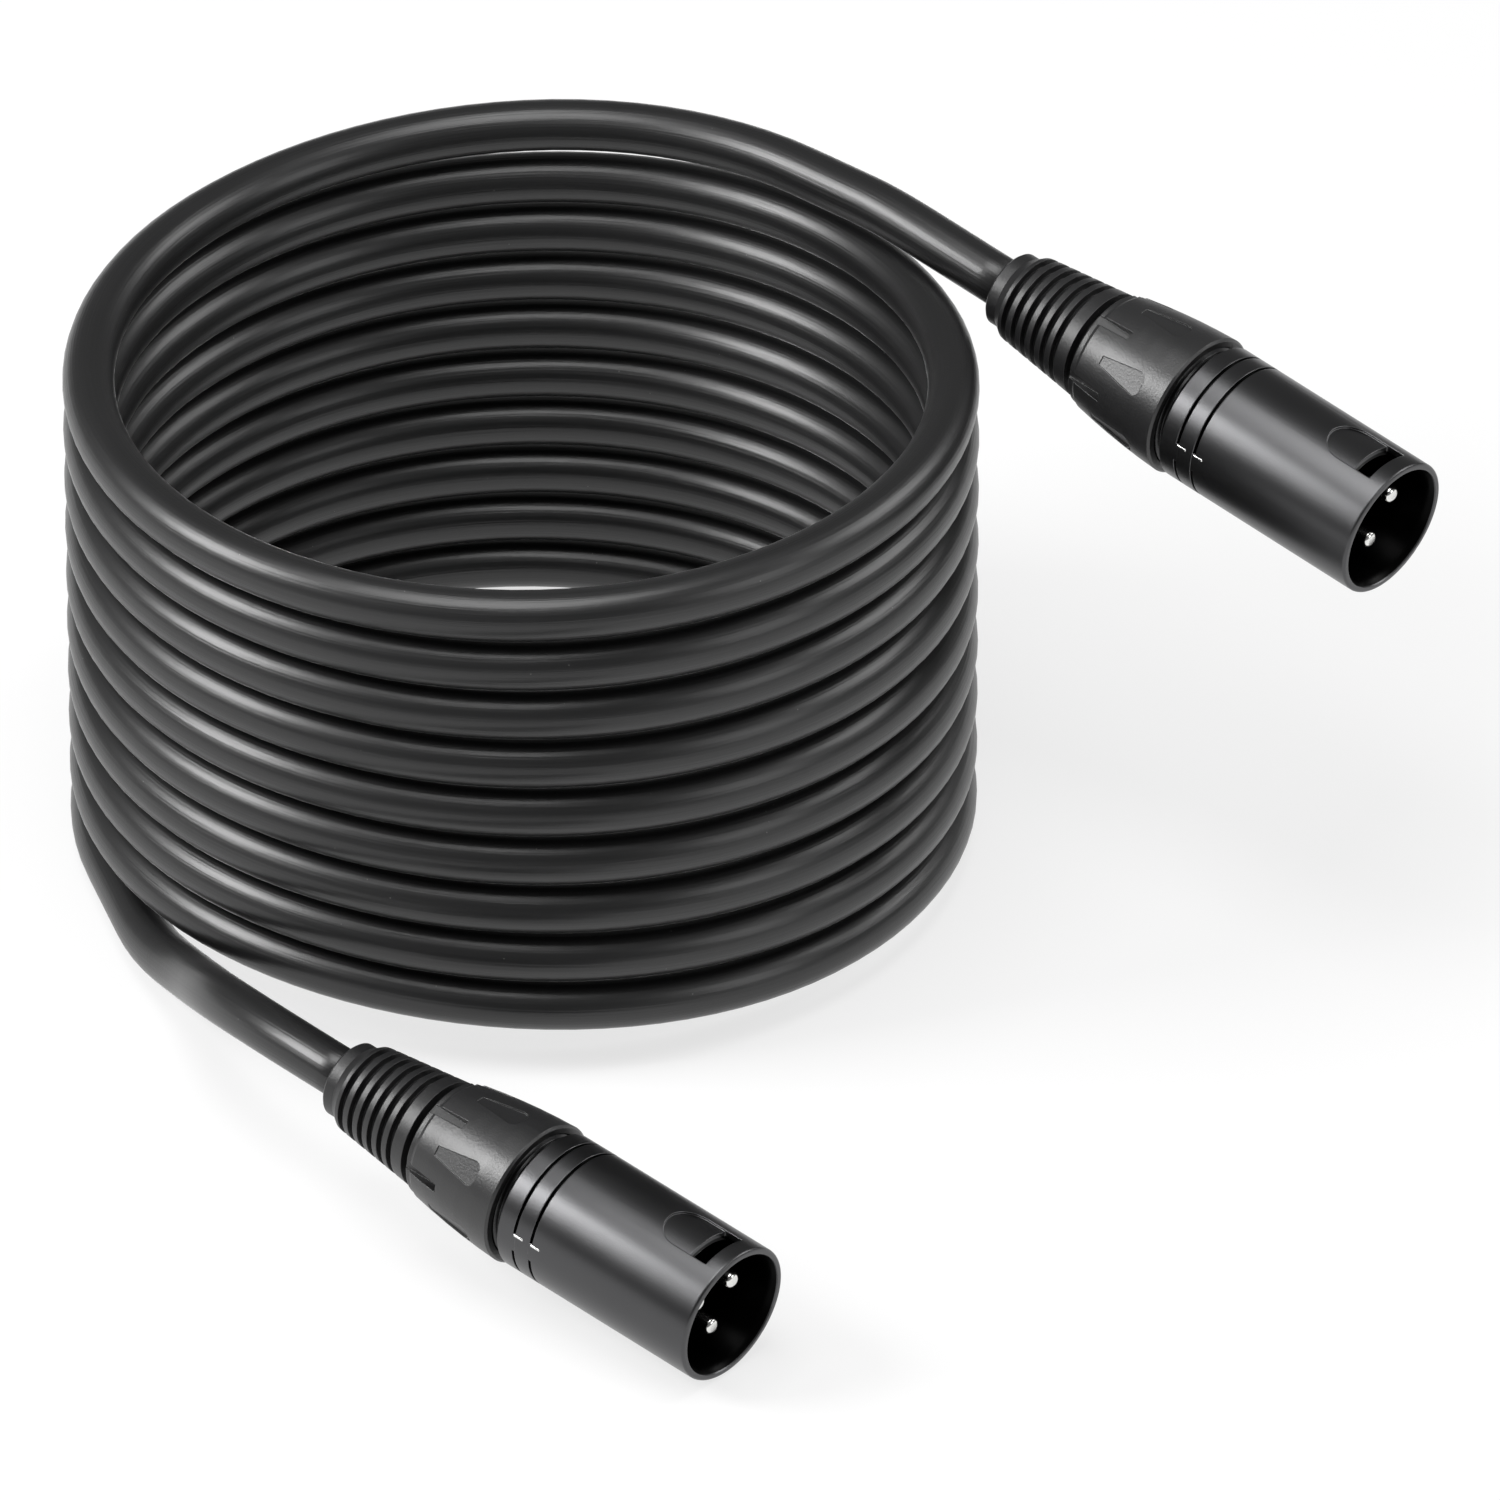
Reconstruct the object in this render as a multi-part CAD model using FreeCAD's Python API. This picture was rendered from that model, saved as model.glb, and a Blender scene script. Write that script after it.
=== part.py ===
import FreeCAD, Part
import math
import os
from FreeCAD import Placement, Rotation, Vector

# A microphone cable wound into one coil, with a male XLR plug on each end.
# Millimetres, +Z up. Both plugs point along +X. The origin lies on the floor, at the middle
# of the bounding box of the two plugs, and the coil stands on its lowest turn beside it.

# ---- the cable and its coil ----
cable_diameter = 6.75
coil_radius = 56.1            # from the coil's axis to the middle of the cable
turn_pitch = 7.3
start_angle = 238.0           # degrees; the coil runs clockwise from here, seen from above
quarter_turns = 37            # whole quarters, after a first part of a quarter
foot_cut = 0.5                # depth of the flat on which the lowest turn stands
top_lean = 1.6                # how far the top turn leans from level, at the coil's radius
lean_angle = 14.0
lap_heights = (0.04, 0.06, 0.42, 1.07)   # of one pitch, at each quarter of a low lap

# ---- where the plugs lie ----
coil_behind = 36.0            # from the upper plug's rear back to the coil's axis
upper_inset = 0.6             # the upper plug's axis inside the line of the top turn
lower_outset = 21.1           # the lower plug's axis outside the line of the lowest turn
upper_rear_x = -33.9
lower_ahead = 2.4             # the lower plug's rear in front of the upper one's
upper_droop = 8.4             # degrees below level
lower_droop = 6.0
upper_sag = 2.6               # from the coil's end down to the boot's rear

# ---- the free stretches, from the coil to the plug ----
upper_route = []              # points between the two straight leads
lower_route = [(-41.1, 9.3, 6.6), (-28.1, 3.0, 14.5)]   # from the plug's rear, in plan
upper_leads = (7.5, 12.0)     # straight out of the coil, straight into the plug
lower_leads = (10.6, 14.5)
seam_depth = 2.0              # how far the free stretch reaches into the boot

# ---- clearances ----
running = 0.05                # radial, between pieces that turn or seat on each other
standoff = 0.3                # between faces that stay apart

# ---- boot ----
collar_radius = 5.2
collar_length = 1.8
flare_length = 1.9
rib_radius_rear = 6.2
band_radius = 7.6
rib_grooves = 6
rib_pitch = 1.84
groove_width = 0.95
groove_depth = 1.0
band_length = 1.95
flange_room = 0.5             # between the flange and the nut's cavity
flange_length = 1.5

# ---- gland nut ----
nut_gap = 1.1                 # open groove between boot and nut
nut_length = 15.5
nut_rear_radius = 8.05
nut_shoulder_radius = 8.4
nut_shoulder_length = 1.3
nut_proud = 0.4               # how far the nut's front stands over the shell
nut_crown = 0.25              # how far the cone bulges at its middle
nut_rear_wall = 2.1
nut_bore_radius = 6.0
nut_front_wall = 1.8          # from the shell's outside down to the nut's cavity
thread_length = 4.8
leaf_count = 6
leaf_start = 4.4              # from the nut's rear to the leaf's narrow end
leaf_length = 7.4
leaf_width = 3.7              # at its front
leaf_tip_width = 1.3
leaf_corner = 1.1             # radius of its two front corners
leaf_depth = 0.4              # at its front; it is shallower at its tip
leaf_phase = 57.0             # degrees from the top to the first leaf
flute_width = 1.3
flute_length = 6.0
flute_depth = 0.3
travel_turns = 3.5
thread_pitch = 1.25

# ---- shell ----
shell_gap = 1.3               # between the nut's front and the shell's shoulder
shell_radius = 9.5
shell_length = 31.8
spigot_step = 0.8             # from the shell's outside down to its spigot
spigot_length = 5.7
socket_wall = 1.45
socket_depth = 15.5
ledge_height = 0.6            # stop that holds the insert from the front
ledge_thickness = 0.8
rear_wall = 1.7               # round the insert and the chuck
ring_places = (2.7, 5.5)      # from the shell's shoulder
ring_width = 0.5
ring_depth = 0.35
ring_bar = 2.7                # plain bar that breaks the rings on each side
window_width = 7.0
window_length = 2.8
window_inset = 2.4            # from the rim to the window
relief_length = 6.3
relief_depth = 0.3
rim_round = 0.4
lead_in = 0.65                # how far the socket's mouth opens at the rim
lead_in_length = 1.3

# ---- insert, pins and what is behind them ----
insert_length = 8.0
key_width = 2.0
key_height = 0.5
pin_radius = 1.2
shank_radius = 1.5            # of a pin inside the insert
pin_circle = 3.81
pin_recess = 2.8              # from the rim back to the tips
pin_tip_round = 0.6
pin_angles = {"pin_1": 60.0, "pin_2": -60.0, "pin_3": 180.0}   # from the top, towards -Y
shoulder_radius = 1.75
shoulder_length = 0.8
cup_radius = 1.45
cup_bore = 1.0
cup_length = 4.0
cup_depth = 3.0
strip_span = 50.0             # degrees
strip_length = 5.0
strip_thickness = 0.3
strip_inset = 1.2
chuck_gap = 0.35              # between the boot's flange and the chuck
chuck_tip_radius = 5.2
chuck_cone_length = 6.0
chuck_room = 0.7              # between the chuck and the nut's cavity
chuck_flange_length = 2.5
chuck_leg_wall = 1.0
chuck_leg_span = 70.0         # degrees
slit_width = 0.8
slit_length = 7.0
jacket_past_grip = 0.5        # cable that shows past the chuck's grip
core_offset = 1.3
conductor_radius = 0.6
shield_radius = 0.5
solder_length = 2.4

# ---- places in plan ----
plug_spacing = 2 * coil_radius - upper_inset + lower_outset
coil_centre = (upper_rear_x - coil_behind, plug_spacing / 2 - coil_radius + upper_inset)

# ---- places along the plug, from the boot's rear ----
cable_radius = cable_diameter / 2
spigot_radius = shell_radius - spigot_step
socket_radius = shell_radius - socket_wall
rear_bore_radius = shell_radius - rear_wall
ledge_radius = rear_bore_radius - ledge_height
nut_front_radius = shell_radius + nut_proud
nut_cavity_radius = shell_radius - nut_front_wall
flange_radius = nut_cavity_radius - flange_room
chuck_body_radius = nut_cavity_radius - chuck_room
ribs_from = collar_length + flare_length
boot_front = ribs_from + (rib_grooves - 1) * rib_pitch + groove_width + band_length
nut_rear = boot_front + nut_gap
nut_front = nut_rear + nut_length
flange_from = nut_rear + nut_rear_wall + running
chuck_rear = flange_from + flange_length + chuck_gap
shell_rear = nut_front + shell_gap
spigot_rear = shell_rear - spigot_length
rim = shell_rear + shell_length
insert_face = rim - socket_depth
insert_rear = insert_face - insert_length
cup_rear = insert_rear - shoulder_length - cup_length
grip_front = spigot_rear + 2 * running + chuck_flange_length + 1.0
jacket_end = grip_front + jacket_past_grip
nut_travel = travel_turns * thread_pitch

SIDE = Vector(0, 1, 0)
AXIS = Vector(1, 0, 0)


# ---------------------------------------------------------------- small helpers
def rod(x_from, x_to, radius):
    return Part.makeCylinder(radius, x_to - x_from, Vector(x_from, 0, 0), AXIS)


def turned(outline):
    """A solid of revolution about X, from (x, radius) corners."""
    corners = [Vector(x, 0, r) for x, r in outline]
    face = Part.Face(Part.makePolygon(corners + corners[:1]))
    return face.revolve(Vector(0, 0, 0), AXIS, 360)


def block(x_from, x_to, y_from, y_to, z_from, z_to):
    size = (x_to - x_from, y_to - y_from, z_to - z_from)
    return Part.makeBox(*size, Vector(x_from, y_from, z_from))


def sector(x_from, x_to, r_in, r_out, middle, span):
    """Part of a ring, its middle at an angle from the top towards -Y."""
    ring = Part.makeCylinder(r_out, x_to - x_from, Vector(x_from, 0, 0), AXIS, span)
    ring = ring.cut(rod(x_from - 1, x_to + 1, r_in))
    # makeCylinder starts its sweep at the top for a rod along X
    return about_axis(ring, middle - span / 2)


def about_axis(shape, angle):
    """Turn about the plug's axis, from the top (+Z) towards -Y."""
    turned_shape = shape.copy()
    turned_shape.rotate(Vector(0, 0, 0), AXIS, angle)
    return turned_shape


def round_edges(shape, radius, wanted):
    return shape.makeFillet(radius, [e for e in shape.Edges if wanted(e)])


def upright_at(edge, x):
    """True for a straight edge that stands up at that place."""
    ends = [v.Point for v in edge.Vertexes]
    return all(abs(p.x - x) < 1e-6 for p in ends) and abs(ends[0].y - ends[-1].y) < 1e-6


def is_circle(edge, x, radius):
    """True for a whole circle about the plug's axis at that place."""
    curve = edge.Curve
    if not hasattr(curve, "Radius") or abs(curve.Radius - radius) > 1e-6:
        return False
    return abs(edge.BoundBox.XMin - x) < 1e-6 and abs(edge.BoundBox.XMax - x) < 1e-6


# ---------------------------------------------------------------- cable paths
def arc_from(start, tangent_end, end):
    """The arc from start to end whose tangents there meet at tangent_end."""
    middle = (start + end) * 0.5
    half = math.atan2(tangent_end.distanceToPoint(middle), start.distanceToPoint(middle))
    if half < 1e-6:
        return Part.LineSegment(start, end)
    crown = middle + (tangent_end - middle) * (math.tan(half / 2) / math.tan(half))
    return Part.Arc(start, crown, end)


def biarc(p0, t0, p1, t1):
    """Two tangent arcs between two points with given directions there."""
    v = p1 - p0
    both = t0 + t1
    a = both.dot(both) - 4
    b = -2 * v.dot(both)
    c = v.dot(v)
    reach = (-b - math.sqrt(b * b - 4 * a * c)) / (2 * a)
    if reach < 0:
        reach = (-b + math.sqrt(b * b - 4 * a * c)) / (2 * a)
    q0 = p0 + t0 * reach
    q1 = p1 - t1 * reach
    joint = (q0 + q1) * 0.5
    return [arc_from(p0, q0, joint), arc_from(joint, q1, p1)]


def coil_nodes():
    """Points and directions on the coil's axis line, from the foot to the top."""
    first = start_angle % 90
    travel = [0.0] + [first + 90.0 * k for k in range(quarter_turns + 1)]
    whole = travel[-1]
    foot = cable_radius - foot_cut
    low_lean = top_lean * math.cos(math.radians(start_angle - lean_angle))
    heights = []
    for k, phi in enumerate(travel):
        share = phi / whole
        turns = phi / 360
        angle = start_angle - phi
        lean = top_lean * math.cos(math.radians(angle - lean_angle)) - low_lean
        laps, quarter = divmod(k - 1, 4)
        stepped = foot + turn_pitch * (laps + lap_heights[quarter])
        evenly = cable_radius + turn_pitch * turns + lean
        heights.append(stepped * (1 - share) + evenly * share)
    heights[:3] = [cable_radius, foot, foot]
    places = []
    for phi, z in zip(travel, heights):
        angle = math.radians(start_angle - phi)
        x = coil_centre[0] + coil_radius * math.cos(angle)
        y = coil_centre[1] + coil_radius * math.sin(angle)
        places.append(Vector(x, y, z))
    steps = [math.radians(b - a) * coil_radius for a, b in zip(travel, travel[1:])]
    rises = [(b - a) / s for a, b, s in zip(heights, heights[1:], steps)]
    slopes = [0.0]
    for below, above in zip(rises, rises[1:]):
        rising = below > 0 and above > 0
        slopes.append(2 * below * above / (below + above) if rising else 0.0)
    slopes.append(0.0)
    nodes = []
    for phi, place, slope in zip(travel, places, slopes):
        angle = math.radians(start_angle - phi)
        way = Vector(math.sin(angle), -math.cos(angle), slope)
        nodes.append((place, way.normalize()))
    return nodes


def coil_path(nodes):
    """The coil's axis line: straight ends of one cable diameter, biarcs between."""
    first, first_way = nodes[0]
    last, last_way = nodes[-1]
    start = first - first_way * cable_diameter
    end = last + last_way * cable_diameter
    curves = [Part.LineSegment(start, first)]
    for (p0, t0), (p1, t1) in zip(nodes, nodes[1:]):
        curves += biarc(p0, t0, p1, t1)
    curves.append(Part.LineSegment(last, end))
    return curves, [(start, -first_way), (end, last_way)]


def tail_points(coil_end, placement, between, leads):
    """Route of a free stretch: square out of the coil, by hand between, straight into the plug."""
    start, way = coil_end
    seam = placement.multVec(Vector(seam_depth, 0, 0))
    into = placement.Rotation.multVec(AXIS)
    rear = placement.Base
    hand = [Vector(rear.x + x, rear.y + y, z) for x, y, z in between]
    return [start, start + way * leads[0]] + hand + [seam - into * leads[1], seam]


def route_curves(points, name):
    """Straight runs joined by arcs that are as large as the runs allow."""
    curves = []
    radii = []
    at = points[0]
    for before, here, after in zip(points, points[1:], points[2:]):
        way_in = (here - before).normalize()
        way_out = (after - here).normalize()
        half = way_in.getAngle(way_out) / 2
        shorter = min(here.distanceToPoint(before), after.distanceToPoint(here))
        reach = 0.45 * shorter
        radii.append(round(reach / math.tan(half), 1))
        begin = here - way_in * reach
        finish = here + way_out * reach
        curves.append(Part.LineSegment(at, begin))
        curves.append(arc_from(begin, here, finish))
        at = finish
    curves.append(Part.LineSegment(at, points[-1]))
    print(name, "radii", radii)
    return curves


def tube(curves, radius, name):
    """A round tube along tangent curves, its volume compared with section x length."""
    spine = Part.Wire([c.toShape() for c in curves])
    start = curves[0].StartPoint
    way = (curves[0].EndPoint - start).normalize()
    ring = Part.Wire([Part.makeCircle(radius, start, way)])
    shell = Part.BRepOffsetAPI.MakePipeShell(spine)
    shell.add(ring)
    shell.build()
    shell.makeSolid()
    solid = shell.shape()
    if solid.Volume < 0:
        solid.reverse()
    share = solid.Volume / (math.pi * radius ** 2 * spine.Length)
    print(name, "length", round(spine.Length, 1), "volume share", round(share, 4))
    return solid


def spaced_points(curves, spacing):
    points = []
    for curve in curves:
        edge = curve.toShape()
        count = max(2, int(edge.Length / spacing))
        points += edge.discretize(Number=count + 1)[:-1]
    return points


def least_gap(points, others, apart=0):
    """Least gap between two lines of cable; apart skips neighbours on the same line."""
    least = 1e9
    for i, p in enumerate(points):
        for q in others[i + apart:] if apart else others:
            if abs(p.z - q.z) < 2 * cable_diameter:
                least = min(least, p.distanceToPoint(q))
    return round(least - cable_diameter, 3)


# ---------------------------------------------------------------- pieces of one plug
def cone_radius(x):
    """Outer radius of the nut in front of its rear shoulder."""
    share = (x - nut_rear - nut_shoulder_length) / (nut_length - nut_shoulder_length)
    straight = nut_shoulder_radius + share * (nut_front_radius - nut_shoulder_radius)
    return straight + nut_crown * 4 * share * (1 - share)


def make_boot():
    slope = (band_radius - rib_radius_rear) / (boot_front - ribs_from)
    outline = [(0, cable_radius + standoff), (0, collar_radius - 0.3), (0.3, collar_radius)]
    outline += [(collar_length, collar_radius)]
    outline += [(collar_length + flare_length * 0.7, rib_radius_rear - 0.1)]
    outline += [(ribs_from, rib_radius_rear)]
    for k in range(rib_grooves):
        at = ribs_from + k * rib_pitch
        after = at + groove_width
        radius = rib_radius_rear + slope * (at - ribs_from)
        radius_after = rib_radius_rear + slope * (after - ribs_from)
        if k:
            outline.append((at, radius))
        outline += [(at, radius - groove_depth), (after, radius_after - groove_depth)]
        outline.append((after, radius_after))
    neck = nut_bore_radius - running
    outline += [(boot_front, band_radius), (boot_front, neck), (flange_from, neck)]
    outline += [(flange_from, flange_radius), (flange_from + flange_length, flange_radius)]
    mouth = chuck_tip_radius - 0.4
    outline += [(flange_from + flange_length, mouth)]
    outline += [(flange_from, cable_radius + standoff)]
    return turned(outline)


def leaf_tool():
    """A flat-bottomed cutter over the top of the nut: narrow behind, its front corners round."""
    tip = nut_rear + leaf_start
    front = tip + leaf_length
    half, narrow = leaf_width / 2, leaf_tip_width / 2
    corners = [Vector(tip, -narrow, 0), Vector(front, -half, 0)]
    corners += [Vector(front, half, 0), Vector(tip, narrow, 0)]
    tool = Part.Face(Part.makePolygon(corners + corners[:1])).extrude(Vector(0, 0, 3))
    tool = round_edges(tool, leaf_corner, lambda e: upright_at(e, front))
    floor = cone_radius(tip) - leaf_depth / 4
    rise = math.atan2(cone_radius(front) - leaf_depth - floor, leaf_length)
    tool.rotate(Vector(tip, 0, 0), SIDE, -math.degrees(rise))
    tool.translate(Vector(0, 0, floor))
    return tool


def flute_tool():
    rear = nut_rear - 1
    floor = nut_rear_radius - flute_depth
    top = nut_front_radius + 2
    return block(rear, nut_rear + flute_length, -flute_width / 2, flute_width / 2, floor, top)


def make_nut():
    outline = [(nut_rear, nut_bore_radius), (nut_rear, nut_rear_radius - 0.2)]
    outline += [(nut_rear + 0.2, nut_rear_radius)]
    outline += [(nut_rear + nut_shoulder_length * 0.6, nut_rear_radius)]
    for k in range(6):
        x = nut_rear + nut_shoulder_length + k / 5 * (nut_length - nut_shoulder_length - 0.3)
        outline.append((x, cone_radius(x)))
    outline += [(nut_front, nut_front_radius - 0.3), (nut_front, spigot_radius + running)]
    outline += [(nut_front - thread_length, spigot_radius + running)]
    outline += [(nut_front - thread_length, nut_cavity_radius)]
    outline += [(nut_rear + nut_rear_wall, nut_cavity_radius)]
    outline += [(nut_rear + nut_rear_wall, nut_bore_radius)]
    nut = turned(outline)
    step = 360 / leaf_count
    leaves = [about_axis(leaf_tool(), leaf_phase + k * step) for k in range(leaf_count)]
    flutes = [about_axis(flute_tool(), leaf_phase + (k + 0.5) * step) for k in range(leaf_count)]
    return nut.cut(leaves + flutes)


def shell_body():
    outline = [(spigot_rear, rear_bore_radius), (spigot_rear, spigot_radius)]
    outline += [(shell_rear, spigot_radius), (shell_rear, shell_radius - 0.3)]
    outline += [(shell_rear + 0.3, shell_radius), (rim, shell_radius)]
    outline += [(rim, socket_radius + lead_in), (rim - lead_in_length, socket_radius)]
    outline += [(insert_face + ledge_thickness, socket_radius)]
    outline += [(insert_face + ledge_thickness, ledge_radius)]
    outline += [(insert_face, ledge_radius), (insert_face, rear_bore_radius)]
    body = turned(outline)
    return round_edges(body, rim_round, lambda e: is_circle(e, rim, shell_radius))


def ring_groove(place):
    at = shell_rear + place
    groove = rod(at, at + ring_width, shell_radius + 1)
    groove = groove.cut(rod(at - 1, at + 1 + ring_width, shell_radius - ring_depth))
    reach = shell_radius + 2
    return groove.cut(block(at - 1, at + 2, -reach, reach, -ring_bar / 2, ring_bar / 2))


def thumb_relief():
    """Oval recess behind the window, its rear end round."""
    front = rim - window_inset - window_length / 2
    middle = rim - window_inset - window_length - relief_length + window_width / 2
    half = window_width / 2
    tool = block(middle, front, -half, half, 0, shell_radius + 1)
    tool = tool.fuse(Part.makeCylinder(half, shell_radius + 1, Vector(middle, 0, 0)))
    return tool.removeSplitter().cut(rod(middle - half - 1, rim, shell_radius - relief_depth))


def make_shell():
    half = window_width / 2
    front = rim - window_inset
    window = block(front - window_length, front, -half, half, 0, shell_radius + 1)
    keyway = block(
        insert_rear - 1, insert_face, -key_width / 2 - running, key_width / 2 + running,
        -rear_bore_radius - key_height, -rear_bore_radius + 1,
    )
    tools = [window, thumb_relief(), keyway] + [ring_groove(p) for p in ring_places]
    return shell_body().cut(tools)


def pin_place(name):
    angle = math.radians(pin_angles[name])
    return Vector(0, -pin_circle * math.sin(angle), pin_circle * math.cos(angle))


def make_pin(name):
    tip = rim - pin_recess
    outline = [(cup_rear, cup_bore), (cup_rear, cup_radius)]
    outline += [(insert_rear - shoulder_length, cup_radius)]
    outline += [(insert_rear - shoulder_length, shoulder_radius), (insert_rear, shoulder_radius)]
    outline += [(insert_rear, shank_radius), (insert_face, shank_radius)]
    outline += [(insert_face, pin_radius), (tip, pin_radius), (tip, 0)]
    outline += [(cup_rear + cup_depth, 0), (cup_rear + cup_depth, cup_bore)]
    pin = turned(outline)
    pin = round_edges(pin, pin_tip_round, lambda e: is_circle(e, tip, pin_radius))
    pin.translate(pin_place(name))
    return pin


def strip_radius():
    return rear_bore_radius - running - strip_thickness - running


def make_insert():
    radius = rear_bore_radius - running
    insert = rod(insert_rear, insert_face, radius)
    key = block(
        insert_rear, insert_face - 1, -key_width / 2, key_width / 2,
        -rear_bore_radius - key_height + running, -rear_bore_radius + 1,
    )
    insert = insert.fuse(key)
    tools = []
    for name in pin_angles:
        hole = rod(insert_rear - 1, insert_face + 1, shank_radius + running)
        hole.translate(pin_place(name))
        tools.append(hole)
    strip_from = insert_rear + strip_inset
    strip_to = strip_from + strip_length
    span = strip_span + 2
    inner = strip_radius() - running
    tools.append(sector(strip_from - running, strip_to + running, inner, radius + 1, 0, span))
    return insert.cut(tools)


def make_ground_strip():
    strip_from = insert_rear + strip_inset
    inner = strip_radius()
    return sector(strip_from, strip_from + strip_length, inner, inner + strip_thickness, 0, strip_span)


def make_chuck():
    cone_end = chuck_rear + chuck_cone_length
    flange_rear = spigot_rear + 2 * running
    flange_front = flange_rear + chuck_flange_length
    flange = rear_bore_radius - 2 * running
    bore = cable_radius + running
    outline = [(chuck_rear, bore), (chuck_rear, chuck_tip_radius)]
    outline += [(cone_end, chuck_body_radius), (flange_rear, chuck_body_radius)]
    outline += [(flange_rear, flange), (flange_front, flange)]
    outline += [(flange_front, flange - 2), (grip_front, flange - 2), (grip_front, bore)]
    chuck = turned(outline)
    leg_in = flange - chuck_leg_wall
    legs = [
        sector(flange_front - 0.5, insert_rear, leg_in, flange, side, chuck_leg_span)
        for side in (90, 270)
    ]
    chuck = chuck.fuse(legs)
    slits = []
    for k in range(4):
        half = slit_width / 2
        slit = block(chuck_rear - 1, chuck_rear + slit_length, -half, half, 0, rear_bore_radius)
        slits.append(about_axis(slit, 45 + 90 * k))
    return chuck.cut(slits).removeSplitter()


def make_wire(pin, radius):
    """A stripped core from the jacket's end into its solder cup, with the solder on its tip."""
    place = pin_place(pin)
    core = Vector(place).normalize() * core_offset
    bend = (cup_rear - jacket_end) / 4
    points = [
        Vector(jacket_end, core.y, core.z),
        Vector(jacket_end + bend, core.y, core.z),
        Vector(cup_rear - bend, place.y, place.z),
        Vector(cup_rear + running, place.y, place.z),
    ]
    wire = tube(route_curves(points, pin + " wire"), radius, pin + " wire")
    solder = rod(cup_rear + running - 0.01, cup_rear + solder_length, cup_bore - running)
    solder.translate(place)
    return wire.fuse(solder)


def make_held_cable():
    return rod(seam_depth, jacket_end, cable_radius)


def plug_pieces():
    pieces = {"boot": make_boot(), "nut": make_nut(), "shell": make_shell()}
    pieces["insert"] = make_insert()
    for name in pin_angles:
        pieces[name] = make_pin(name)
    pieces["ground_strip"] = make_ground_strip()
    pieces["chuck"] = make_chuck()
    pieces["held_cable"] = make_held_cable()
    pieces["shield_wire"] = make_wire("pin_1", shield_radius)
    pieces["conductor_2"] = make_wire("pin_2", conductor_radius)
    pieces["conductor_3"] = make_wire("pin_3", conductor_radius)
    return pieces


# ---------------------------------------------------------------- the whole part
def plug_placements(coil_end):
    """Where each plug's rear centre lies, and how far it droops."""
    upper = Vector(upper_rear_x, plug_spacing / 2, coil_end.z - upper_sag)
    droop = math.radians(lower_droop)
    lower_z = shell_radius * math.cos(droop) + rim * math.sin(droop)
    lower = Vector(upper_rear_x + lower_ahead, -plug_spacing / 2, lower_z)
    return {
        "upper": Placement(upper, Rotation(SIDE, upper_droop)),
        "lower": Placement(lower, Rotation(SIDE, lower_droop)),
    }


def save(name, shape):
    shape.exportStep(os.path.join("parts", name + ".step"))
    solids = len(shape.Solids)
    if solids != 1 or not shape.isValid():
        print("CHECK", name, "solids", solids, "valid", shape.isValid())


def main():
    os.makedirs("parts", exist_ok=True)
    curves, coil_ends = coil_path(coil_nodes())
    coil = tube(curves, cable_radius, "coil")
    reach = 2 * coil_radius
    corner = Vector(coil_centre[0] - reach, coil_centre[1] - reach, -cable_diameter)
    floor = Part.makeBox(2 * reach, 2 * reach, cable_diameter, corner)
    save("cable_coil", coil.cut(floor))

    line = spaced_points(curves, 2.0)
    print("coil's least gap to itself", least_gap(line, line, apart=90))

    placements = plug_placements(coil_ends[1][0])
    ends = {"upper": coil_ends[1], "lower": coil_ends[0]}
    routes = {"upper": upper_route, "lower": lower_route}
    leads = {"upper": upper_leads, "lower": lower_leads}
    pieces = plug_pieces()
    for name, placement in placements.items():
        points = tail_points(ends[name], placement, routes[name], leads[name])
        tail_curves = route_curves(points, name + " tail")
        save(name + "_tail", tube(tail_curves, cable_radius, name + " tail"))
        tail_line = spaced_points(tail_curves, 2.0)
        near = 2 * cable_diameter
        far = [p for p in line if p.distanceToPoint(points[0]) > near]
        print(name, "tail's least gap to the coil", least_gap(tail_line, far))
        for piece, shape in pieces.items():
            placed = shape.copy()
            placed.Placement = placement.multiply(placed.Placement)
            save(name + "_" + piece, placed)


main()
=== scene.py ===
# %% [markdown]
# # A coiled microphone cable with two XLR plugs
# This lesson dresses a finished CAD model in Blender: one long cable wound into a tidy
# coil, with a male three-pin plug on each end. The CAD solids arrive as a fixed frame in
# metres. Everything here is built around them, in the same place and at the same size.

# %% Load the frame
import math
import bmesh
import bpy
from mathutils import Matrix, Vector


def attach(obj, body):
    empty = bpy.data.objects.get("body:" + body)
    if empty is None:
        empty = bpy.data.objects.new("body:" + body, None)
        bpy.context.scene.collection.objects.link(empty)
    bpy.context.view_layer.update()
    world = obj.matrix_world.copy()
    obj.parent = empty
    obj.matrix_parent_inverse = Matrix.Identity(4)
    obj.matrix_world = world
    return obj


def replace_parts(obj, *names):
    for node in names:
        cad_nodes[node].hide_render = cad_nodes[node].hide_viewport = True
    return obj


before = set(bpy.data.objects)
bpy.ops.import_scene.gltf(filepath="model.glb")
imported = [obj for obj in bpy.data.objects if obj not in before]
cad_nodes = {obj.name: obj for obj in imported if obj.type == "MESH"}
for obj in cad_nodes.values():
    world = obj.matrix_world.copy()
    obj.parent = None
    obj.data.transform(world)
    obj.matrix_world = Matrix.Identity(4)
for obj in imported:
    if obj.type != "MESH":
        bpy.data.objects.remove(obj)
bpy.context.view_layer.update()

sides = ("upper", "lower")
mm = 0.001

# %% [markdown]
# ## The camera
# A product camera usually stands well back with a long lens, which keeps parallel edges
# nearly parallel. This one looks down from the front right, by a little more than a third
# of a right angle. Placing it by its angles round a point on the object is simpler to read
# and to change than a raw position and rotation, and the lamps are placed the same way.

# %% Helpers for placing
view_centre = Vector((-34.4, 15.25, 24.2)) * mm


def place_object(name, data):
    """Stands a mesh, curve, lamp or camera in the scene."""
    made = bpy.data.objects.new(name, data)
    bpy.context.scene.collection.objects.link(made)
    return made


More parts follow.
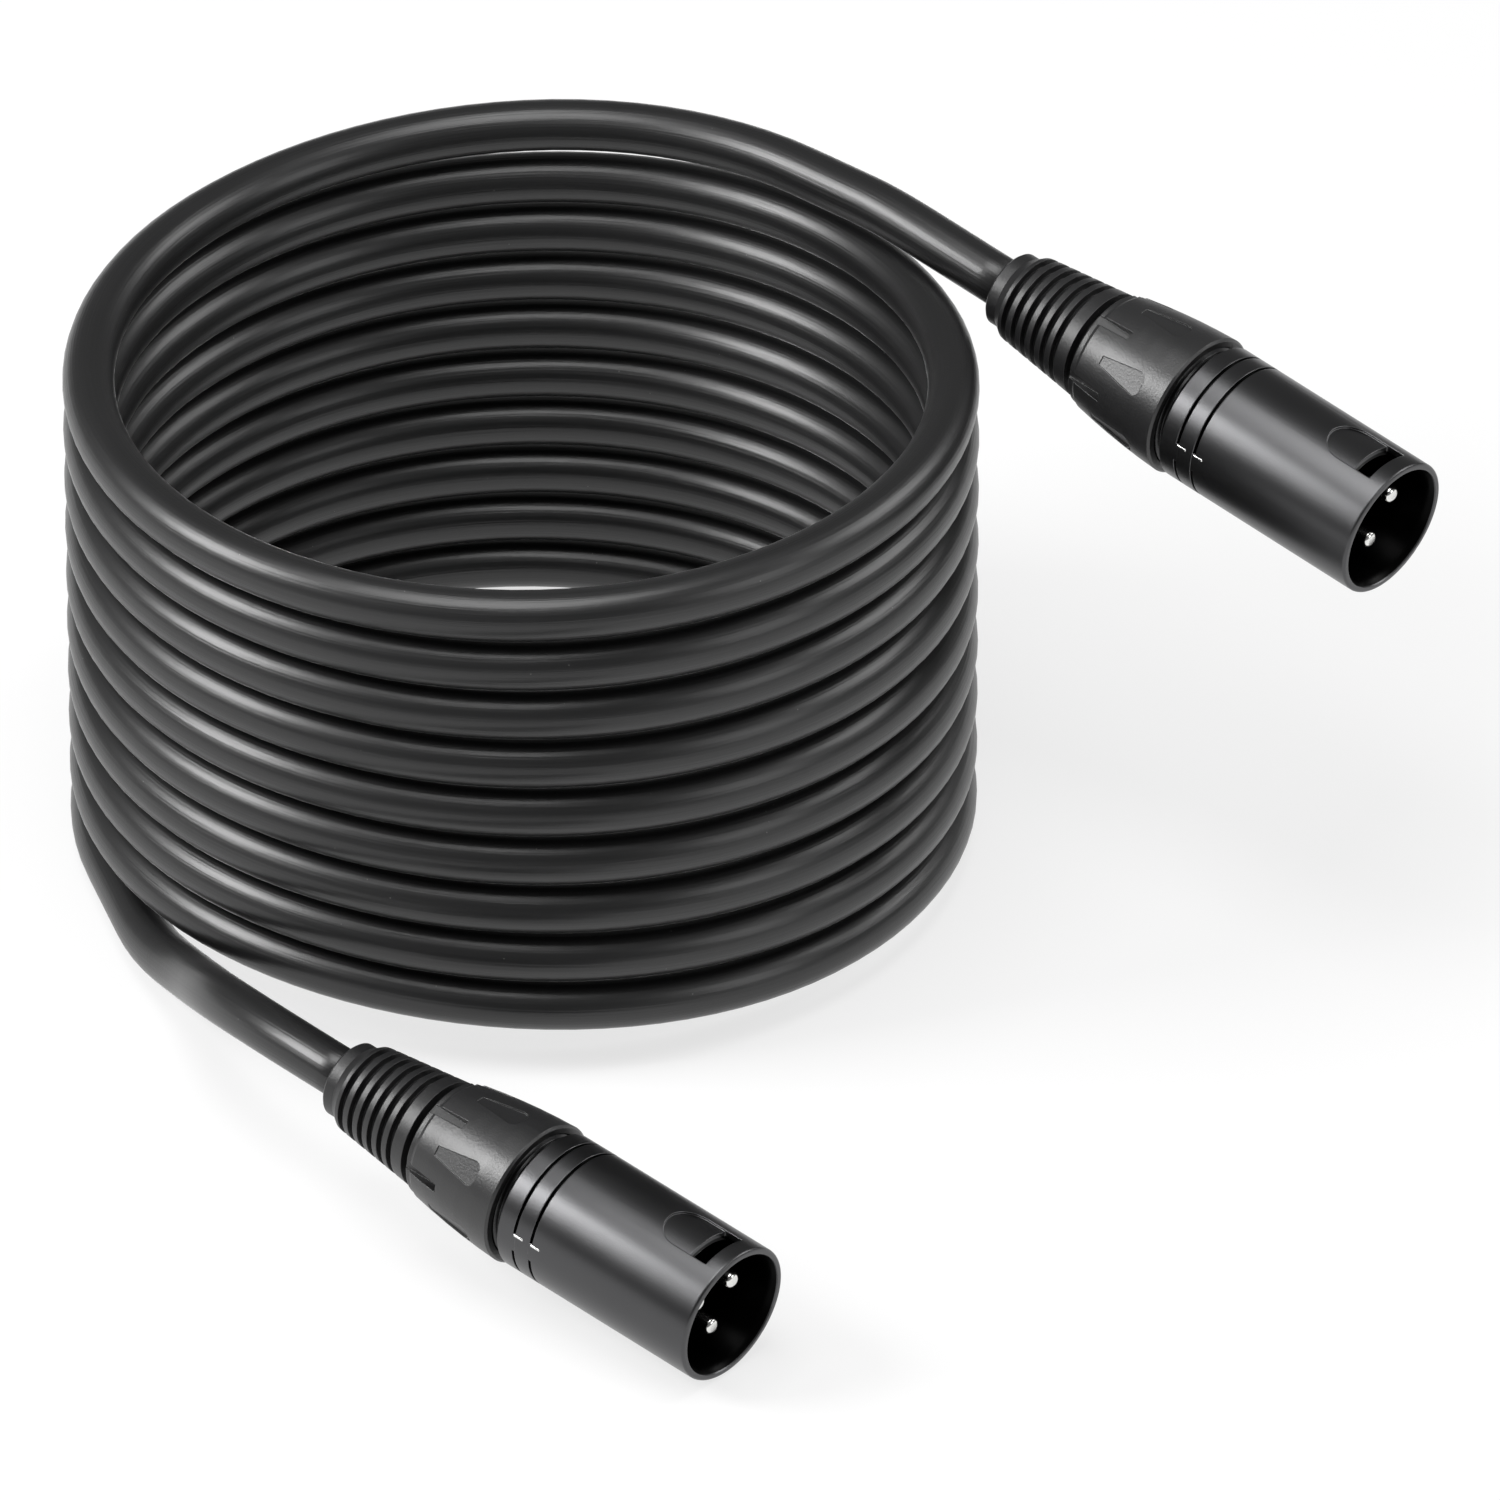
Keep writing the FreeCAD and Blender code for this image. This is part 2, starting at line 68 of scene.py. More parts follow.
def aim_at_centre(thing, turn, rise, distance):
    """Stands a camera or lamp off the centre; turn counts from -Y towards +X."""
    turn, rise = math.radians(turn), math.radians(rise)
    away = Vector((math.sin(turn) * math.cos(rise),
                   -math.cos(turn) * math.cos(rise), math.sin(rise)))
    thing.location = view_centre + away * distance
    thing.rotation_euler = (-away).to_track_quat("-Z", "Y").to_euler()


# %% Camera
camera_distance = 3.0
framed_width = 195.0 * mm

camera_data = bpy.data.cameras.new("camera")
camera = place_object("camera", camera_data)
aim_at_centre(camera, turn=41.0, rise=33.9, distance=camera_distance)
camera_data.angle = 2 * math.atan(framed_width / 2 / camera_distance)
camera_data.clip_start = 0.05
bpy.context.scene.camera = camera
print("lens, mm:", round(camera_data.lens, 1))

# %% [markdown]
# ## The cable
# The real cable is two limp copper cores and a shield in a flexible jacket, wound up after
# use. It leaves one plug, drops onto the top turn, winds down to the table and comes out to
# the second plug. It could be a mesh tube or a helix modifier, but one NURBS curve with a
# round bevel is the easiest to steer: a loop places the points of the winding, and a few
# more carry each free stretch into its plug. The last two lie on the plug's axis, so that
# the boot can slide back along the cable.
#
# Laid turns don't climb evenly. The first one starts flat on the table, and each later turn
# steps up where it crosses the one below, so the heights are set at every quarter turn.
# Towards the top the steps even out.

# %% Heights of the winding, in millimetres
cable_diameter = 6.75
cable_radius = cable_diameter / 2
turn_pitch = 7.3
start_angle = 238.0                    # where the winding begins on the table, in degrees
quarter_turns = 37
flat_corners = 3                       # the first corners between quarters, on the table
foot_cut = 0.5                         # the stepped turns sit this much lower at the foot
top_lean, lean_angle = 1.6, 14.0       # how far the top turns lean, and their high side
lap_heights = (0.04, 0.06, 0.42, 1.07)  # shares of a pitch after each quarter of a turn

first_part = start_angle % 90
swept = [0.0] + [first_part + 90.0 * k for k in range(quarter_turns + 1)]


def corner_height(k):
    """Height of the cable's middle at the end of each quarter turn, from the foot up."""
    if k < flat_corners:
        return cable_radius
    share = swept[k] / swept[-1]
    lean = top_lean * (math.cos(math.radians(start_angle - swept[k] - lean_angle))
                       - math.cos(math.radians(start_angle - lean_angle)))
    lap, quarter = divmod(k - 1, 4)
    stepped = cable_radius - foot_cut + turn_pitch * (lap + lap_heights[quarter])
    even = cable_radius + turn_pitch * swept[k] / 360 + lean
    return stepped * (1 - share) + even * share


corner_heights = [corner_height(k) for k in range(len(swept))]
print("the winding climbs to", round(corner_heights[-1], 2), "mm")


# %% Smooth heights between the corners
def climb(k):
    """Millimetres in a degree, from one corner to the next."""
    return (corner_heights[k + 1] - corner_heights[k]) / (swept[k + 1] - swept[k])


def slope(k):
    """A slope at a corner that never overshoots the heights on both sides."""
    if k in (0, len(swept) - 1) or climb(k - 1) <= 0 or climb(k) <= 0:
        return 0.0
    return 2 * climb(k - 1) * climb(k) / (climb(k - 1) + climb(k))


def winding_height(angle):
    """Height after this many degrees, on a smooth curve through the corners' heights."""
    k = max(i for i in range(len(swept) - 1) if swept[i] <= angle)
    span = swept[k + 1] - swept[k]
    t = (angle - swept[k]) / span
    low, high = corner_heights[k], corner_heights[k + 1]
    return ((2 * t ** 3 - 3 * t ** 2 + 1) * low + (3 * t ** 2 - 2 * t ** 3) * high
            + (t ** 3 - 2 * t ** 2 + t) * span * slope(k)
            + (t ** 3 - t ** 2) * span * slope(k + 1))


print("steepest climb, mm in a degree:",
      round(max(climb(k) for k in range(len(swept) - 1)), 3))

# %% The winding's points
coil_radius = 56.1
coil_centre = (-69.9, 10.85)
points_in_winding = 226

# The spline runs through the middles of its control runs, so they stand a little outside.
step = swept[-1] / points_in_winding
control_radius = coil_radius / math.cos(math.radians(step / 2))
winding = []
for k in range(points_in_winding):
    angle = (k + 0.5) * step
    around = math.radians(start_angle - angle)
    winding.append((coil_centre[0] + control_radius * math.cos(around),
                    coil_centre[1] + control_radius * math.sin(around),
                    winding_height(angle)))
print("turns in the winding:", round(swept[-1] / 360, 2))

# %% The whole route, from the upper plug to the lower one
upper_stretch = [(-31.92, 66.35, 70.72), (-43.79, 66.35, 72.47),
                 (-55.65, 66.95, 73.61), (-63.15, 66.95, 73.61)]
lower_stretch = [(-93.90, -40.30, 3.38), (-83.54, -46.78, 3.38), (-72.10, -51.51, 6.01),
                 (-60.38, -59.82, 12.93), (-51.36, -63.66, 15.75),
                 (-39.96, -66.35, 17.19), (-29.51, -66.35, 16.09)]
route = upper_stretch + winding[::-1] + lower_stretch

route_curve = bpy.data.curves.new("cable_route", "CURVE")
route_curve.dimensions = "3D"
route_curve.resolution_u = 4
route_curve.use_fill_caps = True
spline = route_curve.splines.new("NURBS")
spline.points.add(len(route) - 1)
for point, (x, y, z) in zip(spline.points, route):
    point.co = (x * mm, y * mm, z * mm, 1.0)
spline.order_u = 3
spline.use_endpoint_u = True
route_object = place_object("cable_route", route_curve)
print("control points:", len(route))


# %% [markdown]
# ## From the route to a tube
# The bare curve gives the points of the cable's middle line. The same curve with a round
# bevel gives its skin, already with a UV map that runs along and around it, which the
# jacket's drawn lines follow. Both are read as meshes, and the curve is then removed, so
# one closed tube is left.

# %% The cable as one closed tube
def mesh_of_route(bevel):
    """The route as a mesh: a bare line without a bevel, and a tube with one."""
    route_curve.bevel_depth = bevel
    route_curve.bevel_resolution = 10
    bpy.context.view_layer.update()
    graph = bpy.context.evaluated_depsgraph_get()
    return bpy.data.meshes.new_from_object(route_object.evaluated_get(graph),
                                           depsgraph=graph)


middle_line = [tuple(v.co) for v in mesh_of_route(0.0).vertices]
cable_mesh = mesh_of_route(cable_radius * mm)
cable_mesh.name = "cable"
bpy.data.objects.remove(route_object)
build = bmesh.new()
build.from_mesh(cable_mesh)
bmesh.ops.remove_doubles(build, verts=build.verts, dist=0.001 * mm)
bmesh.ops.recalc_face_normals(build, faces=build.faces)
open_edges = sum(edge.is_boundary for edge in build.edges)
build.to_mesh(cable_mesh)
build.free()
print("cable faces:", len(cable_mesh.polygons), "open edges:", open_edges)

# %% What the cable stands for
cable = place_object("cable", cable_mesh)
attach(cable, "cable")
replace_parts(cable, "cable_coil", "upper_tail", "lower_tail")
print("points on the middle line:", len(middle_line))

# %% [markdown]
# ## Building node trees
# Every surface below is a tree of nodes. Four helpers keep the lines short: one adds a node
# and sets it, one links nodes by the names of their sockets, one writes a Math node as if
# it were a function, and one makes an empty group with its sockets.

# %% Helpers for node trees
def add_node(tree, kind, **settings):
    """Adds a node; a setting that begins with in_ is the value of an input."""
    made = tree.nodes.new("ShaderNode" + kind)
    for name, value in settings.items():
        if name.startswith("in_"):
            made.inputs[name[3:].replace("_", " ")].default_value = value
        else:
            setattr(made, name, value)
    return made


def wire(tree, *runs):
    """Links nodes; each run is a node and its output, then a node and its input."""
    for source, output, target, entry in runs:
        tree.links.new(source.outputs[output], target.inputs[entry])


def chain(tree, operation, first, second=None, third=None):
    """The output of a new Math node; each input is a socket or a number."""
    made = add_node(tree, "Math", operation=operation)
    for slot, value in enumerate((first, second, third)):
        if isinstance(value, (int, float)):
            made.inputs[slot].default_value = value
        elif value is not None:
            tree.links.new(value, made.inputs[slot])
    return made.outputs[0]


def new_group(name, inputs, outputs):
    """An empty node group; an input with no default takes a vector, the others numbers."""
    group = bpy.data.node_groups.new(name, "ShaderNodeTree")
    for label, default in inputs.items():
        kind = "Vector" if default is None else "Float"
        socket = group.interface.new_socket(label, in_out="INPUT",
                                            socket_type="NodeSocket" + kind)
        if default is not None:
            socket.default_value = default
    for label, kind in outputs.items():
        group.interface.new_socket(label, in_out="OUTPUT",
                                   socket_type="NodeSocket" + kind)
    return group, group.nodes.new("NodeGroupInput"), group.nodes.new("NodeGroupOutput")


# %% [markdown]
# ## The studio
# The real set is a white sweep with large soft lights, so black surfaces show as soft
# bands rather than sharp sparks. The backdrop's white comes from what the camera sees of
# the floor and the world, not from more light, so the lamps stay gentle. A Light Path node
# tells the kinds of ray apart: straight from the camera, off a glossy surface, or through
# a clear one.

# %% Floor
floor_half_width = 3.0
floor_gap = 0.0002                     # keeps the floor just clear of the lowest turn
floor_white = (0.86, 0.86, 0.86, 1)
floor_glow_share = 0.72

floor_mesh = bpy.data.meshes.new("floor")
build = bmesh.new()
bmesh.ops.create_grid(build, x_segments=1, y_segments=1, size=floor_half_width)
build.to_mesh(floor_mesh)
build.free()
floor = place_object("floor", floor_mesh)
floor.location.z = -floor_gap

floor_look = bpy.data.materials.new("floor_white")
floor_look.use_nodes = True
tree = floor_look.node_tree
tree.nodes.clear()
rays = add_node(tree, "LightPath").outputs
seen = chain(tree, "MAXIMUM", rays["Is Camera Ray"], rays["Is Glossy Ray"])
seen = chain(tree, "MAXIMUM", seen, rays["Is Transmission Ray"])
mixed = add_node(tree, "MixShader")
tree.links.new(chain(tree, "MULTIPLY", seen, floor_glow_share), mixed.inputs["Fac"])
wire(tree,
     (add_node(tree, "BsdfDiffuse", in_Color=floor_white), 0, mixed, 1),
     (add_node(tree, "Emission", in_Strength=1.0), 0, mixed, 2),
     (mixed, 0, add_node(tree, "OutputMaterial"), "Surface"))
floor_mesh.materials.append(floor_look)
print("floor, metres across:", 2 * floor_half_width)

# %% World
ambient_strength = 0.10
mirrored_share = 0.08                  # how much of the white backdrop a glossy ray sees

world = bpy.data.worlds.new("studio")
bpy.context.scene.world = world
world.use_nodes = True
tree = world.node_tree
tree.nodes.clear()
rays = add_node(tree, "LightPath").outputs
white = chain(tree, "MULTIPLY", rays["Is Glossy Ray"], mirrored_share)
white = chain(tree, "MAXIMUM", white, rays["Is Transmission Ray"])
mixed = add_node(tree, "MixShader")
tree.links.new(chain(tree, "MAXIMUM", white, rays["Is Camera Ray"]), mixed.inputs["Fac"])
for entry, strength in ((1, ambient_strength), (2, 1.0)):
    light = add_node(tree, "Background", in_Color=(1, 1, 1, 1), in_Strength=strength)
    wire(tree, (light, 0, mixed, entry))
wire(tree, (mixed, 0, add_node(tree, "OutputWorld"), "Surface"))
print("ambient light:", ambient_strength)


# %% Lamps
def softbox(name, turn, rise, distance, width, tall, power):
    """A rectangular area lamp that faces the object; sizes in metres, power in watts."""
    lamp = bpy.data.lights.new(name, "AREA")
    lamp.shape = "RECTANGLE"
    lamp.size, lamp.size_y = width, tall
    lamp.energy = power
    aim_at_centre(place_object(name, lamp), turn, rise, distance)
    print(name, "lamp:", power, "W")


softbox("key", -42, 36, 0.9, 0.36, 0.42, 7.5)
softbox("top", 10, 80, 1.0, 0.6, 0.6, 6.0)
softbox("rim", 150, 35, 1.0, 0.5, 0.4, 3.0)
softbox("right", 100, 25, 1.0, 0.4, 0.5, 1.5)
bpy.context.scene.view_settings.view_transform = "Standard"

# %% [markdown]
# ## Where each plug lies
# Several pieces and finishes follow the plug's own axis, such as the thread on its spigot.
# Each plug points along +X and droops a few degrees, so its frame is a place, the boot's
# rear, and one turn about Y. A Mapping node of the texture kind takes a point back into
# that frame.

# %% The plugs' frames
plug_rear = {"upper": (-33.9, 66.35, 71.012), "lower": (-31.5, -66.35, 16.299)}
plug_droop = {"upper": math.radians(8.4), "lower": math.radians(6.0)}
spigot_rear, shell_rear, rim = 28.0, 33.7, 65.5
shell_radius = 9.5


def plug_place(side, x, y, z):
    """A point given along, across and over the plug's axis, in metres in the frame."""
    turn = Matrix.Rotation(plug_droop[side], 3, "Y")
    return (Vector(plug_rear[side]) + turn @ Vector((x, y, z))) * mm


def in_plug(side, point):
    """The reverse of plug_place: a point of the frame in the plug's own millimetres."""
    turn = Matrix.Rotation(-plug_droop[side], 3, "Y")
    return turn @ (Vector(point) / mm - Vector(plug_rear[side]))


for side in sides:
    print(side, "rim at", [round(c, 4) for c in plug_place(side, rim, 0, 0)])

# %% [markdown]
# ## Shared finishes
# Moulded plastic, rubber and coated metal all have the same few small faults: a fine
# grain from the mould, softly broken edges, dust and rubbed corners. Each one is a node
# group with its own inputs, built once and set differently in every material, so a
# change to the grain reaches every piece.

# %% Group: moulded grain
grain_group, entry, leaving = new_group(
    "moulded_grain", {"Scale": 900.0, "Patch Scale": 60.0},
    {"Height": "Float", "Patches": "Float"})
place = add_node(grain_group, "TexCoord")
fine = add_node(grain_group, "TexNoise", in_Detail=2.0, in_Roughness=0.5)
broad = add_node(grain_group, "TexNoise", in_Detail=3.0, in_Roughness=0.55)
wire(grain_group,
     (place, "Object", fine, "Vector"), (place, "Object", broad, "Vector"),
     (entry, "Scale", fine, "Scale"), (entry, "Patch Scale", broad, "Scale"),
     (fine, "Fac", leaving, "Height"), (broad, "Fac", leaving, "Patches"))
print("moulded grain:", len(grain_group.nodes), "nodes")

# %% Group: rubbed edges
# A Bevel node gives the normal of a rounded edge. Where it turns away from the true normal
# there is an edge, and noise breaks the rubbing up along it.
wear_group, entry, leaving = new_group(
    "rubbed_edges", {"Radius": 0.0003, "Start": 0.06, "Full": 0.35, "Break Scale": 1400.0},
    {"Mask": "Float", "Normal": "Vector"})
rounded = add_node(wear_group, "Bevel", samples=6)
match = add_node(wear_group, "VectorMath", operation="DOT_PRODUCT")
span = add_node(wear_group, "MapRange")
breaks = add_node(wear_group, "TexNoise", in_Detail=4.0)
wire(wear_group,
     (entry, "Radius", rounded, "Radius"),
     (rounded, "Normal", match, 0),
     (add_node(wear_group, "NewGeometry"), "Normal", match, 1),
     (entry, "Start", span, "From Min"), (entry, "Full", span, "From Max"),
     (add_node(wear_group, "TexCoord"), "Object", breaks, "Vector"),
     (entry, "Break Scale", breaks, "Scale"),
     (rounded, "Normal", leaving, "Normal"))
wear_group.links.new(chain(wear_group, "SUBTRACT", 1.0, match.outputs["Value"]),
                     span.inputs["Value"])
wear_group.links.new(
    chain(wear_group, "MULTIPLY", span.outputs["Result"], breaks.outputs["Fac"]),
    leaving.inputs["Mask"])
print("rubbed edges:", len(wear_group.nodes), "nodes")

# %% Group: dust specks
# Each Voronoi cell holds one speck, and broad noise leaves most places without any.
dusty_from = 0.6
dust_group, entry, leaving = new_group("dust", {"Scale": 500.0, "Size": 0.05},
                                       {"Mask": "Float"})
place = add_node(dust_group, "TexCoord")
specks = add_node(dust_group, "TexVoronoi")
sparse = add_node(dust_group, "TexNoise", in_Scale=90.0)
wire(dust_group,
     (place, "Object", specks, "Vector"), (place, "Object", sparse, "Vector"),
     (entry, "Scale", specks, "Scale"))
near = chain(dust_group, "LESS_THAN", specks.outputs["Distance"], entry.outputs["Size"])
some = chain(dust_group, "GREATER_THAN", sparse.outputs["Fac"], dusty_from)
dust_group.links.new(chain(dust_group, "MULTIPLY", near, some), leaving.inputs["Mask"])
print("dust:", len(dust_group.nodes), "nodes")

# %% Group: painted shade in a shell's socket and grooves
# Painted shade: the socket's wall and the floors of the ring grooves catch no light on a
# real plug, so they are coloured black here. Both lie nearer the axis than the outer face,
# and there are grooves only near the shell's rear.
socket_below, groove_below = 0.9, 0.12  # so far under the outer face counts as inside
rings_length = 7.0                      # both grooves lie in this much of the shell

painted_shade_group, entry, leaving = new_group("painted_shade_places", {"Plug": None},
                                            {"Mask": "Float"})
parts = add_node(painted_shade_group, "SeparateXYZ")
wire(painted_shade_group, (entry, "Plug", parts, 0))
along, across, over = parts.outputs
square = chain(painted_shade_group, "ADD",
               chain(painted_shade_group, "MULTIPLY", across, across),
               chain(painted_shade_group, "MULTIPLY", over, over))
in_socket = chain(painted_shade_group, "LESS_THAN", square,
                  ((shell_radius - socket_below) * mm) ** 2)
in_groove = chain(painted_shade_group, "LESS_THAN", square,
                  ((shell_radius - groove_below) * mm) ** 2)
near_rings = chain(painted_shade_group, "LESS_THAN", along, (shell_rear + rings_length) * mm)
ringed = chain(painted_shade_group, "MULTIPLY", in_groove, near_rings)
painted_shade_group.links.new(chain(painted_shade_group, "MAXIMUM", in_socket, ringed),
                          leaving.inputs["Mask"])
print("blackened places:", len(painted_shade_group.nodes), "nodes")

# %% [markdown]
# ## One recipe for the solid finishes
# Every solid finish here is a base colour that drifts a little in patches, a grain that
# bumps the surface, edges that are softly broken and rubbed, and a trace of dust. On the
# shells, painted shade blackens the socket and the ring grooves. A function builds that
# chain and leaves the numbers to each finish.

# %% Helpers for colour
dust_colour = (0.35, 0.34, 0.33, 1)
# painted shade: the black laid in the socket and the ring grooves
painted_shade_black = (0.004, 0.004, 0.004, 1)


def blend(tree, factor, first, second):
    """A Mix node's colour; first and second are each a socket or a colour."""
    mixed = add_node(tree, "Mix", data_type="RGBA")
    tree.links.new(factor, mixed.inputs["Factor"])
    for label, colour in (("A", first), ("B", second)):
        if isinstance(colour, tuple):
            mixed.inputs[label].default_value = colour
        else:
            tree.links.new(colour, mixed.inputs[label])
    return mixed.outputs["Result"]


def with_painted_shade(tree, side, colour):
    """The colour with painted shade: black in the socket and the grooves of that side's
    plug.
    """
    place = add_node(tree, "TexCoord")
    back = add_node(tree, "Mapping", vector_type="TEXTURE",
                    in_Location=plug_place(side, 0, 0, 0),
                    in_Rotation=(0, plug_droop[side], 0))
    blackened = add_node(tree, "Group", node_tree=painted_shade_group)
    wire(tree, (place, "Object", back, "Vector"), (back, "Vector", blackened, "Plug"))
    return blend(tree, blackened.outputs["Mask"], colour, painted_shade_black)


# %% Finish builder
def finish(name, colour, worn_colour, roughness, grain_scale, grain_depth,
           drift=0.25, edge=0.0003, rub=0.3, dust=0.3, metallic=0.0, specular=0.5,
           rough_drift=0.12, painted_shade_on=None):
    """A material; drift, rub and dust are shares, edge and grain_depth are in metres, and
    painted_shade_on names the plug whose socket and grooves are painted black as shade.
    """
    look = bpy.data.materials.new(name)
    look.use_nodes = True
    tree = look.node_tree
    shader = tree.nodes["Principled BSDF"]
    shader.inputs["Metallic"].default_value = metallic
    shader.inputs["Specular IOR Level"].default_value = specular

    grain = add_node(tree, "Group", node_tree=grain_group)
    grain.inputs["Scale"].default_value = grain_scale
    wear = add_node(tree, "Group", node_tree=wear_group)
    wear.inputs["Radius"].default_value = edge
    specks = add_node(tree, "Group", node_tree=dust_group)

    low, high = (tuple(c * f for c in colour) + (1,) for f in (1 - drift, 1 + drift))
    body = blend(tree, grain.outputs["Patches"], low, high)
    rubbed = chain(tree, "MULTIPLY", wear.outputs["Mask"], rub)
    body = blend(tree, rubbed, body, worn_colour + (1,))
    body = blend(tree, chain(tree, "MULTIPLY", specks.outputs["Mask"], dust),
                 body, dust_colour)
    # painted shade: black in the socket and the ring grooves of that plug
    if painted_shade_on:
        body = with_painted_shade(tree, painted_shade_on, body)
    tree.links.new(body, shader.inputs["Base Color"])

    rough = add_node(tree, "MapRange")
    rough.inputs["To Min"].default_value = roughness - rough_drift / 2
    rough.inputs["To Max"].default_value = roughness + rough_drift / 2
    bump = add_node(tree, "Bump", in_Strength=1.0, in_Distance=grain_depth)
    wire(tree,
         (grain, "Patches", rough, "Value"), (rough, "Result", shader, "Roughness"),
         (grain, "Height", bump, "Height"), (wear, "Normal", bump, "Normal"),
         (bump, "Normal", shader, "Normal"))
    return look


# %% Metal finishes
# The shells carry painted shade: black in the socket and the ring grooves.
shell_looks = {
    side: finish(side + "_shell_satin_black", (0.090, 0.090, 0.0925), (0.75, 0.75, 0.76),
                 roughness=0.32, grain_scale=5000.0, grain_depth=0.000006, drift=0.1,
                 edge=0.00018, rub=0.35, rough_drift=0.05, metallic=1.0, dust=0.1,
                 painted_shade_on=side)
    for side in sides
}
thread_look = finish("thread_oiled_black", (0.055, 0.055, 0.056), (0.5, 0.5, 0.5),
                     roughness=0.27, grain_scale=5000.0, grain_depth=0.000006,
                     metallic=1.0, drift=0.15, edge=0.0001, rub=0.4, dust=0.1)
# painted highlight: the bright metal of the slivers at the grooves' ends
glint_look = finish("painted_glint_metal", (0.85, 0.85, 0.84), (0.95, 0.95, 0.94), roughness=0.22,
                   grain_scale=4000.0, grain_depth=0.000002, metallic=1.0, drift=0.08,
                   edge=0.00005, dust=0.0)
pin_look = finish("pin_silver", (0.80, 0.80, 0.78), (0.92, 0.92, 0.90), roughness=0.16,
                  grain_scale=2500.0, grain_depth=0.000001, metallic=1.0, drift=0.06,
                  edge=0.0001, dust=0.0)
strip_look = finish("strip_tinned", (0.62, 0.60, 0.54), (0.80, 0.78, 0.72),
                    roughness=0.3, grain_scale=2500.0, grain_depth=0.000002,
                    metallic=1.0, drift=0.08, edge=0.0001)
shield_look = finish("shield_copper", (0.70, 0.38, 0.24), (0.85, 0.52, 0.36),
                     roughness=0.35, grain_scale=3000.0, grain_depth=0.00001,
                     metallic=1.0)
print("materials with the metals:", len(bpy.data.materials))

# %% Plastic and rubber finishes
nut_look = finish("nut_matte_black", (0.012, 0.012, 0.0125), (0.08, 0.08, 0.08),
                  roughness=0.38, specular=0.7, grain_scale=3200.0,
                  grain_depth=0.000022, rub=0.3, edge=0.00015)
boot_look = finish("boot_soft_black", (0.010, 0.010, 0.0105), (0.05, 0.05, 0.05),
                   roughness=0.42, specular=0.6, grain_scale=2600.0,
                   grain_depth=0.000020, rub=0.25, edge=0.00015)
insert_look = finish("insert_black", (0.006, 0.006, 0.006), (0.02, 0.02, 0.02),
                     roughness=0.6, grain_scale=1500.0, grain_depth=0.00001,
                     edge=0.0001)
chuck_look = finish("chuck_nylon", (0.50, 0.50, 0.47), (0.6, 0.6, 0.57), roughness=0.45,
                    grain_scale=1200.0, grain_depth=0.000008)
white_look = finish("core_white", (0.75, 0.74, 0.70), (0.8, 0.8, 0.76), roughness=0.4,
                    grain_scale=1500.0, grain_depth=0.000004)
red_look = finish("core_red", (0.50, 0.035, 0.03), (0.55, 0.08, 0.06), roughness=0.4,
                  grain_scale=1500.0, grain_depth=0.000004)
held_look = finish("cable_jacket_held", (0.017, 0.017, 0.0175), (0.05, 0.05, 0.05),
                   roughness=0.40, grain_scale=1100.0, grain_depth=0.0000015,
                   edge=0.0001, rub=0.1, dust=0.0, drift=0.18)
print("materials with the plastics:", len(bpy.data.materials))

# %% Dressing the CAD solids
looks = {
    "nut": nut_look, "boot": boot_look, "insert": insert_look,
    "ground_strip": strip_look, "chuck": chuck_look, "held_cable": held_look,
    "pin_1": pin_look, "pin_2": pin_look, "pin_3": pin_look,
    "conductor_2": white_look, "conductor_3": red_look, "shield_wire": shield_look,
}
for side in sides:
    for node, look in looks.items():
        mesh = cad_nodes[side + "_" + node].data
        mesh.materials.clear()
        mesh.materials.append(look)
print("dressed solids:", len(sides) * len(looks))

# %% [markdown]
# ## The shell and its threaded spigot
# Behind its shoulder the metal shell carries a short spigot with the thread that the nut
# runs on. It shows in the groove beside the nut, and fully once the nut is backed off. The
# CAD model keeps it plain, so the shell is copied, its loose triangles are merged, and the
# plain spigot is cut away at the shoulder. The thread is one zigzag line, spun once round
# the axis while it moves on by one pitch, which makes the last line meet the first. Cut
# square at both ends and closed to the bore, it is a solid of its own.

# %% Helpers for turned metal, in the plug's millimetres
weld = 0.002                           # points nearer than this are made one
on_plane = 0.001                       # points nearer than this lie on a cut


def place_turned(side, name, build, look, crease=30):
    """Lays a closed mesh, made in plug millimetres, in the frame and shades it softly."""
    bmesh.ops.recalc_face_normals(build, faces=build.faces)
    for vert in build.verts:
        vert.co = plug_place(side, *vert.co)
    for face in build.faces:
        face.smooth = True
    for edge in build.edges:
        edge.smooth = edge.calc_face_angle(0.0) < math.radians(crease)
    open_edges = sum(not edge.is_manifold for edge in build.edges)
    mesh = bpy.data.meshes.new(side + name)
    build.to_mesh(mesh)
    build.free()
    made = place_object(side + name, mesh)
    made.data.materials.append(look)
    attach(made, "cable")
    print(made.name, len(mesh.polygons), "faces,", open_edges, "open edges")
    return made


def cut_across(build, x, keep_front):
    """Cuts square to the plug's axis at x, and keeps what is in front or behind."""
    bmesh.ops.bisect_plane(build, geom=build.verts[:] + build.edges[:] + build.faces[:],
                           dist=on_plane / 2, plane_co=(x, 0, 0), plane_no=(1, 0, 0),
                           clear_inner=keep_front, clear_outer=not keep_front)


def loops_at(build, x):
    """The open edges that lie at x along the plug's axis."""
    return [e for e in build.edges if e.is_boundary
            and all(abs(v.co.x - x) < on_plane for v in e.verts)]


# %% Shell without its plain spigot
shell_cut = shell_rear + 0.1           # just in front of the shoulder's face


def shell_front(side):
    """The CAD shell cut off at its shoulder, with the cut closed round the bore."""
    build = bmesh.new()
    build.from_mesh(cad_nodes[side + "_shell"].data)
    for vert in build.verts:
        vert.co = in_plug(side, vert.co)
    bmesh.ops.remove_doubles(build, verts=build.verts, dist=weld)
    cut_across(build, shell_cut, keep_front=True)
    bmesh.ops.bridge_loops(build, edges=loops_at(build, shell_cut))
    return place_turned(side, "_shell_front", build, shell_looks[side])


